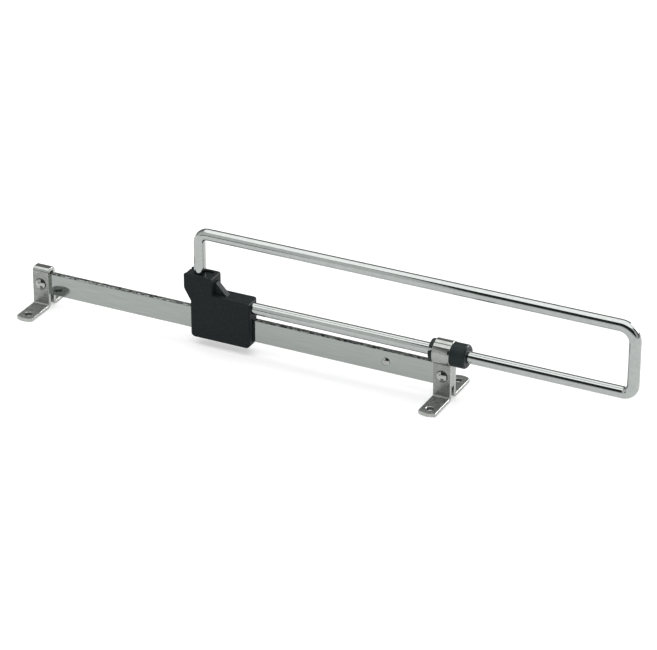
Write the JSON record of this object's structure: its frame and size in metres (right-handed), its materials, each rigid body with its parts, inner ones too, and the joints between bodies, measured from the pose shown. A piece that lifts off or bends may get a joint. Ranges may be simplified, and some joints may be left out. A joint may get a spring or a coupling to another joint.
{
  "type": "pull-out clothes rail",
  "caption": "Flat guide strip on two screw-on brackets, carrying a plastic carriage and a chromed rod loop that slides out through a bush to hang clothes on.",
  "frame": {"origin": "middle of the four screw holes, on the plane of the feet's undersides", "axes": "+X the way the loop pulls out, +Z away from the shelf the feet are screwed to"},
  "size_m": [0.4335, 0.057, 0.0828],
  "materials": {
    "plated_steel": "satin nickel plated cold-rolled steel",
    "bracket_steel": "satin nickel plated bent sheet steel",
    "rivet_steel": "bright plated steel rivet",
    "chrome_rod": "polished chrome plated steel rod",
    "carriage_plastic": "moulded plastic with a fine grain",
    "bush_plastic": "moulded plastic, satin",
    "pin_steel": "oiled spring steel",
    "screw_steel": "zinc plated steel screw"
  },
  "bodies": {
    "rail": {"guide_strip": "plated_steel", "rear_bracket": "bracket_steel", "front_bracket": "bracket_steel", "rear_rivet": "rivet_steel", "front_rivet": "rivet_steel", "stop_stud": "plated_steel", "rod_bush": "bush_plastic"},
    "slider": {"carriage_body": "carriage_plastic", "carriage_cover": "carriage_plastic", "leg_pin": "pin_steel", "run_pin": "pin_steel", "cover_screw_rear": "screw_steel", "cover_screw_tower": "screw_steel", "hanging_loop": "chrome_rod"}
  },
  "joints": [
    {"name": "carriage_slide", "type": "slide", "parent": "rail", "child": "slider", "axis": [1, 0, 0], "range_m": [-0.1045, 0.0932]}
  ]
}
